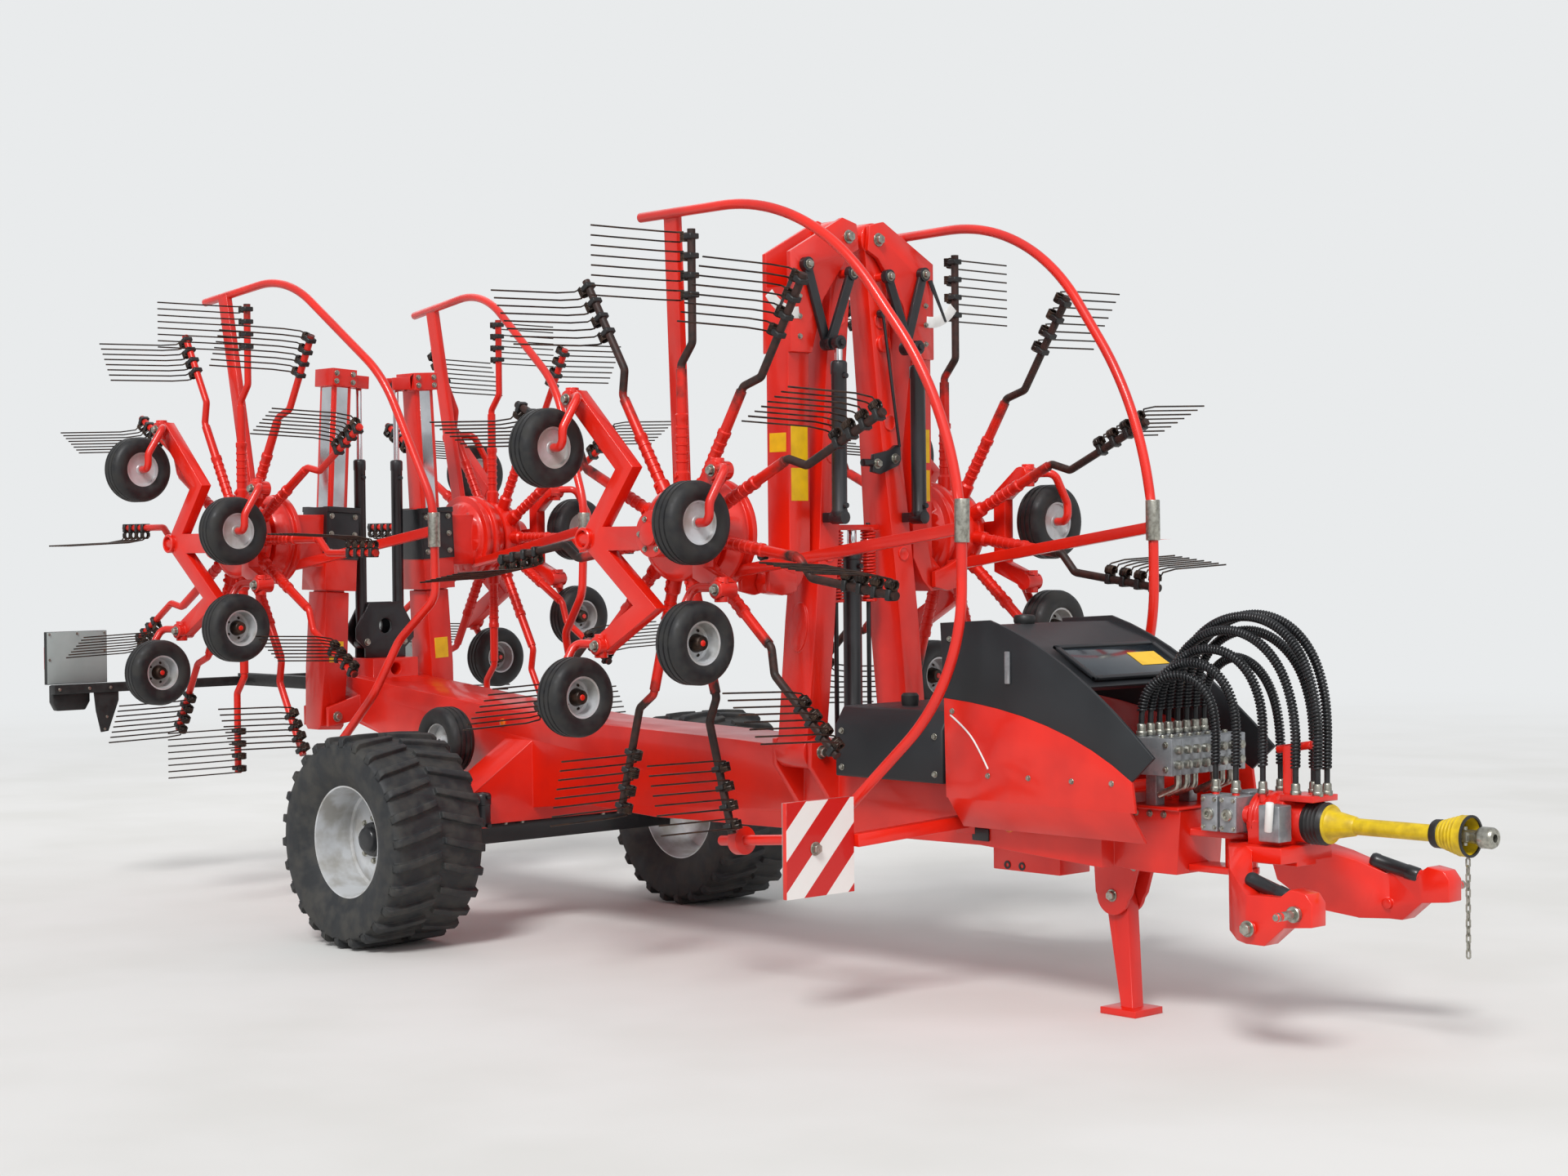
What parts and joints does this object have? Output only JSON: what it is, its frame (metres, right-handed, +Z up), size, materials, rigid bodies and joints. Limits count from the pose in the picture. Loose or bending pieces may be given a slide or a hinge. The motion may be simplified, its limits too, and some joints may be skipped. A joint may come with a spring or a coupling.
{
  "type": "folded rotary rake",
  "caption": "Trailed rotary rake folded for road travel, with tine rotors on upright arms, guard hoops, hood, drive shaft, wide road wheels and a parking stand.",
  "frame": {"origin": "on the ground under the middle of the overall length and width", "axes": "+X towards the hitch (forwards), +Y to the machine's left, +Z up"},
  "size_m": [9.68, 3, 3.8924],
  "materials": {
    "red_paint": "gloss",
    "black_paint": "satin",
    "worn_steel": "matte",
    "tyre_rubber": "matte",
    "silver_rim": "satin",
    "bright_rod": "gloss",
    "hose_rubber": "satin",
    "guard_plastic": "satin",
    "valve_metal": "satin",
    "board_paint": "satin"
  },
  "bodies": {
    "chassis": {"main_frame": "red_paint", "axle_beam": "black_paint", "hood_lower": "red_paint", "hood_upper": "black_paint", "oil_tank": "black_paint", "valve_block": "valve_metal", "hoses": "hose_rubber", "rear_boards": "board_paint", "front_boards": "board_paint", "arm_springs": "red_paint", "rear_bracket": "black_paint", "spare_wheel": "tyre_rubber"},
    "hitch": {"hitch_yoke": "red_paint", "gearbox": "red_paint", "pto_shaft": "guard_plastic", "guard_chain": "worn_steel"},
    "stand": {"stand": "red_paint"},
    "main_right_wheel": {"main_right_tyre": "tyre_rubber", "main_right_rim": "silver_rim"},
    "front_right_inner": {"front_right_inner_arm": "red_paint", "front_right_fold_cylinder": "black_paint"},
    "front_right_outer_arm": {"front_right_outer_arm": "red_paint"},
    "front_right_fold_rod": {"front_right_fold_rod": "bright_rod"},
    "front_right_rotor_frame": {"front_right_rotor_frame": "red_paint"},
    "front_right_tine_rotor": {"front_right_tine_rotor": "worn_steel"},
    "rear_right_arm": {"rear_right_arm": "red_paint"},
    "rear_right_rotor_frame": {"rear_right_rotor_frame": "red_paint"},
    "rear_right_tine_rotor": {"rear_right_tine_rotor": "worn_steel"},
    "rear_right_lift_barrel": {"rear_right_lift_barrel": "black_paint"},
    "rear_right_lift_rod": {"rear_right_lift_rod": "bright_rod"},
    "front_right_gauge_wheel_1": {"front_right_gauge_wheel_1": "tyre_rubber"},
    "front_right_gauge_wheel_2": {"front_right_gauge_wheel_2": "tyre_rubber"},
    "front_right_gauge_wheel_3": {"front_right_gauge_wheel_3": "tyre_rubber"},
    "front_right_gauge_wheel_4": {"front_right_gauge_wheel_4": "tyre_rubber"},
    "rear_right_gauge_wheel_1": {"rear_right_gauge_wheel_1": "tyre_rubber"},
    "rear_right_gauge_wheel_2": {"rear_right_gauge_wheel_2": "tyre_rubber"},
    "rear_right_gauge_wheel_3": {"rear_right_gauge_wheel_3": "tyre_rubber"},
    "rear_right_gauge_wheel_4": {"rear_right_gauge_wheel_4": "tyre_rubber"},
    "main_left_wheel": {"main_left_tyre": "tyre_rubber", "main_left_rim": "silver_rim"},
    "front_left_inner": {"front_left_inner_arm": "red_paint", "front_left_fold_cylinder": "black_paint"},
    "front_left_outer_arm": {"front_left_outer_arm": "red_paint"},
    "front_left_fold_rod": {"front_left_fold_rod": "bright_rod"},
    "front_left_rotor_frame": {"front_left_rotor_frame": "red_paint"},
    "front_left_tine_rotor": {"front_left_tine_rotor": "worn_steel"},
    "rear_left_arm": {"rear_left_arm": "red_paint"},
    "rear_left_rotor_frame": {"rear_left_rotor_frame": "red_paint"},
    "rear_left_tine_rotor": {"rear_left_tine_rotor": "worn_steel"},
    "rear_left_lift_barrel": {"rear_left_lift_barrel": "black_paint"},
    "rear_left_lift_rod": {"rear_left_lift_rod": "bright_rod"},
    "front_left_gauge_wheel_1": {"front_left_gauge_wheel_1": "tyre_rubber"},
    "front_left_gauge_wheel_2": {"front_left_gauge_wheel_2": "tyre_rubber"},
    "front_left_gauge_wheel_3": {"front_left_gauge_wheel_3": "tyre_rubber"},
    "front_left_gauge_wheel_4": {"front_left_gauge_wheel_4": "tyre_rubber"},
    "rear_left_gauge_wheel_1": {"rear_left_gauge_wheel_1": "tyre_rubber"},
    "rear_left_gauge_wheel_2": {"rear_left_gauge_wheel_2": "tyre_rubber"},
    "rear_left_gauge_wheel_3": {"rear_left_gauge_wheel_3": "tyre_rubber"},
    "rear_left_gauge_wheel_4": {"rear_left_gauge_wheel_4": "tyre_rubber"}
  },
  "joints": [
    {"name": "hitch_swivel", "type": "hinge", "parent": "chassis", "child": "hitch", "pos_m": [3.56, 0, 0.85], "axis": [0, 0, 1], "range_deg": [-60, 60], "deforming": ["hoses"]},
    {"name": "stand_swing", "type": "hinge", "parent": "chassis", "child": "stand", "pos_m": [2.87, 0, 0.55], "axis": [0, 1, 0], "range_deg": [0, 90]},
    {"name": "main_right_axle", "type": "hinge", "parent": "chassis", "child": "main_right_wheel", "pos_m": [-1.39, -1.2, 0.585], "axis": [0, 1, 0], "continuous": true},
    {"name": "front_right_lift", "type": "hinge", "parent": "chassis", "child": "front_right_inner", "pos_m": [1.11, -0.37, 1.15], "axis": [1, 0, 0], "range_deg": [0, 90]},
    {"name": "front_right_knee", "type": "hinge", "parent": "front_right_inner", "child": "front_right_outer_arm", "pos_m": [1.11, -0.107, 3.75], "axis": [-1, 0, 0], "range_deg": [0, 150]},
    {"name": "front_right_level", "type": "hinge", "parent": "front_right_outer_arm", "child": "front_right_rotor_frame", "pos_m": [1.11, -0.545, 2], "axis": [1, 0, 0], "range_deg": [0, 150]},
    {"name": "front_right_rod_slide", "type": "slide", "parent": "front_right_inner", "child": "front_right_fold_rod", "axis": [0, 0.0051, 1], "range_m": [0, 0.71]},
    {"name": "rear_right_fold", "type": "hinge", "parent": "chassis", "child": "rear_right_arm", "pos_m": [-3.14, -0.42, 1.15], "axis": [1, 0, 0], "range_deg": [0, 90]},
    {"name": "rear_right_extend", "type": "slide", "parent": "rear_right_arm", "child": "rear_right_rotor_frame", "axis": [0, 0.0536, 0.9986], "range_m": [0, 0.75]},
    {"name": "rear_right_cylinder_foot", "type": "hinge", "parent": "chassis", "child": "rear_right_lift_barrel", "pos_m": [-3.14, -0.14, 1.6], "axis": [1, 0, 0], "range_deg": [0, 95]},
    {"name": "rear_right_cylinder_stroke", "type": "slide", "parent": "rear_right_lift_barrel", "child": "rear_right_lift_rod", "axis": [0, 0, 1], "range_m": [0, 0.74]},
    {"name": "front_right_spin", "type": "hinge", "parent": "front_right_rotor_frame", "child": "front_right_tine_rotor", "pos_m": [0.88, -0.95, 2.25], "axis": [0, 1, 0], "continuous": true},
    {"name": "front_right_gauge_wheel_1_axle", "type": "hinge", "parent": "front_right_rotor_frame", "child": "front_right_gauge_wheel_1", "pos_m": [0.23, -1.29, 2.69], "axis": [1, 0, 0], "continuous": true},
    {"name": "front_right_gauge_wheel_2_axle", "type": "hinge", "parent": "front_right_rotor_frame", "child": "front_right_gauge_wheel_2", "pos_m": [1.33, -1.29, 2.3], "axis": [1, 0, 0], "continuous": true},
    {"name": "front_right_gauge_wheel_3_axle", "type": "hinge", "parent": "front_right_rotor_frame", "child": "front_right_gauge_wheel_3", "pos_m": [1.35, -1.29, 1.73], "axis": [1, 0, 0], "continuous": true},
    {"name": "front_right_gauge_wheel_4_axle", "type": "hinge", "parent": "front_right_rotor_frame", "child": "front_right_gauge_wheel_4", "pos_m": [0.44, -1.29, 1.44], "axis": [1, 0, 0], "continuous": true},
    {"name": "rear_right_spin", "type": "hinge", "parent": "rear_right_rotor_frame", "child": "rear_right_tine_rotor", "pos_m": [-3.21, -0.95, 2.25], "axis": [0, 1, 0], "continuous": true},
    {"name": "rear_right_gauge_wheel_1_axle", "type": "hinge", "parent": "rear_right_rotor_frame", "child": "rear_right_gauge_wheel_1", "pos_m": [-3.86, -1.29, 2.69], "axis": [1, 0, 0], "continuous": true},
    {"name": "rear_right_gauge_wheel_2_axle", "type": "hinge", "parent": "rear_right_rotor_frame", "child": "rear_right_gauge_wheel_2", "pos_m": [-2.76, -1.29, 2.3], "axis": [1, 0, 0], "continuous": true},
    {"name": "rear_right_gauge_wheel_3_axle", "type": "hinge", "parent": "rear_right_rotor_frame", "child": "rear_right_gauge_wheel_3", "pos_m": [-2.74, -1.29, 1.73], "axis": [1, 0, 0], "continuous": true},
    {"name": "rear_right_gauge_wheel_4_axle", "type": "hinge", "parent": "rear_right_rotor_frame", "child": "rear_right_gauge_wheel_4", "pos_m": [-3.65, -1.29, 1.44], "axis": [1, 0, 0], "continuous": true},
    {"name": "main_left_axle", "type": "hinge", "parent": "chassis", "child": "main_left_wheel", "pos_m": [-1.39, 1.2, 0.585], "axis": [0, 1, 0], "continuous": true},
    {"name": "front_left_lift", "type": "hinge", "parent": "chassis", "child": "front_left_inner", "pos_m": [1.11, 0.37, 1.15], "axis": [-1, 0, 0], "range_deg": [0, 90]},
    {"name": "front_left_knee", "type": "hinge", "parent": "front_left_inner", "child": "front_left_outer_arm", "pos_m": [1.11, 0.107, 3.75], "axis": [1, 0, 0], "range_deg": [0, 150]},
    {"name": "front_left_level", "type": "hinge", "parent": "front_left_outer_arm", "child": "front_left_rotor_frame", "pos_m": [1.11, 0.545, 2], "axis": [-1, 0, 0], "range_deg": [0, 150]},
    {"name": "front_left_rod_slide", "type": "slide", "parent": "front_left_inner", "child": "front_left_fold_rod", "axis": [0, -0.0051, 1], "range_m": [0, 0.71]},
    {"name": "rear_left_fold", "type": "hinge", "parent": "chassis", "child": "rear_left_arm", "pos_m": [-3.14, 0.42, 1.15], "axis": [-1, 0, 0], "range_deg": [0, 90]},
    {"name": "rear_left_extend", "type": "slide", "parent": "rear_left_arm", "child": "rear_left_rotor_frame", "axis": [0, -0.0536, 0.9986], "range_m": [0, 0.75]},
    {"name": "rear_left_cylinder_foot", "type": "hinge", "parent": "chassis", "child": "rear_left_lift_barrel", "pos_m": [-3.14, 0.14, 1.6], "axis": [-1, 0, 0], "range_deg": [0, 95]},
    {"name": "rear_left_cylinder_stroke", "type": "slide", "parent": "rear_left_lift_barrel", "child": "rear_left_lift_rod", "axis": [0, 0, 1], "range_m": [0, 0.74]},
    {"name": "front_left_spin", "type": "hinge", "parent": "front_left_rotor_frame", "child": "front_left_tine_rotor", "pos_m": [0.88, 0.95, 2.25], "axis": [0, 1, 0], "continuous": true},
    {"name": "front_left_gauge_wheel_1_axle", "type": "hinge", "parent": "front_left_rotor_frame", "child": "front_left_gauge_wheel_1", "pos_m": [0.23, 1.29, 2.69], "axis": [1, 0, 0], "continuous": true},
    {"name": "front_left_gauge_wheel_2_axle", "type": "hinge", "parent": "front_left_rotor_frame", "child": "front_left_gauge_wheel_2", "pos_m": [1.33, 1.29, 2.3], "axis": [1, 0, 0], "continuous": true},
    {"name": "front_left_gauge_wheel_3_axle", "type": "hinge", "parent": "front_left_rotor_frame", "child": "front_left_gauge_wheel_3", "pos_m": [1.35, 1.29, 1.73], "axis": [1, 0, 0], "continuous": true},
    {"name": "front_left_gauge_wheel_4_axle", "type": "hinge", "parent": "front_left_rotor_frame", "child": "front_left_gauge_wheel_4", "pos_m": [0.44, 1.29, 1.44], "axis": [1, 0, 0], "continuous": true},
    {"name": "rear_left_spin", "type": "hinge", "parent": "rear_left_rotor_frame", "child": "rear_left_tine_rotor", "pos_m": [-3.21, 0.95, 2.25], "axis": [0, 1, 0], "continuous": true},
    {"name": "rear_left_gauge_wheel_1_axle", "type": "hinge", "parent": "rear_left_rotor_frame", "child": "rear_left_gauge_wheel_1", "pos_m": [-3.86, 1.29, 2.69], "axis": [1, 0, 0], "continuous": true},
    {"name": "rear_left_gauge_wheel_2_axle", "type": "hinge", "parent": "rear_left_rotor_frame", "child": "rear_left_gauge_wheel_2", "pos_m": [-2.76, 1.29, 2.3], "axis": [1, 0, 0], "continuous": true},
    {"name": "rear_left_gauge_wheel_3_axle", "type": "hinge", "parent": "rear_left_rotor_frame", "child": "rear_left_gauge_wheel_3", "pos_m": [-2.74, 1.29, 1.73], "axis": [1, 0, 0], "continuous": true},
    {"name": "rear_left_gauge_wheel_4_axle", "type": "hinge", "parent": "rear_left_rotor_frame", "child": "rear_left_gauge_wheel_4", "pos_m": [-3.65, 1.29, 1.44], "axis": [1, 0, 0], "continuous": true}
  ],
  "couplings": [
    {"joint": "front_right_knee", "follows": "front_right_lift", "ratio": 1.6667},
    {"joint": "front_right_level", "follows": "front_right_lift", "ratio": 1.6667},
    {"joint": "front_right_rod_slide", "follows": "front_right_lift", "m_per_rad": 0.4456},
    {"joint": "rear_right_extend", "follows": "rear_right_fold", "m_per_rad": 0.47746},
    {"joint": "rear_right_cylinder_foot", "follows": "rear_right_fold", "ratio": 1.0459},
    {"joint": "rear_right_cylinder_stroke", "follows": "rear_right_fold", "m_per_rad": 0.4686},
    {"joint": "front_left_knee", "follows": "front_left_lift", "ratio": 1.6667},
    {"joint": "front_left_level", "follows": "front_left_lift", "ratio": 1.6667},
    {"joint": "front_left_rod_slide", "follows": "front_left_lift", "m_per_rad": 0.4456},
    {"joint": "rear_left_extend", "follows": "rear_left_fold", "m_per_rad": 0.47746},
    {"joint": "rear_left_cylinder_foot", "follows": "rear_left_fold", "ratio": 1.0459},
    {"joint": "rear_left_cylinder_stroke", "follows": "rear_left_fold", "m_per_rad": 0.4686}
  ]
}
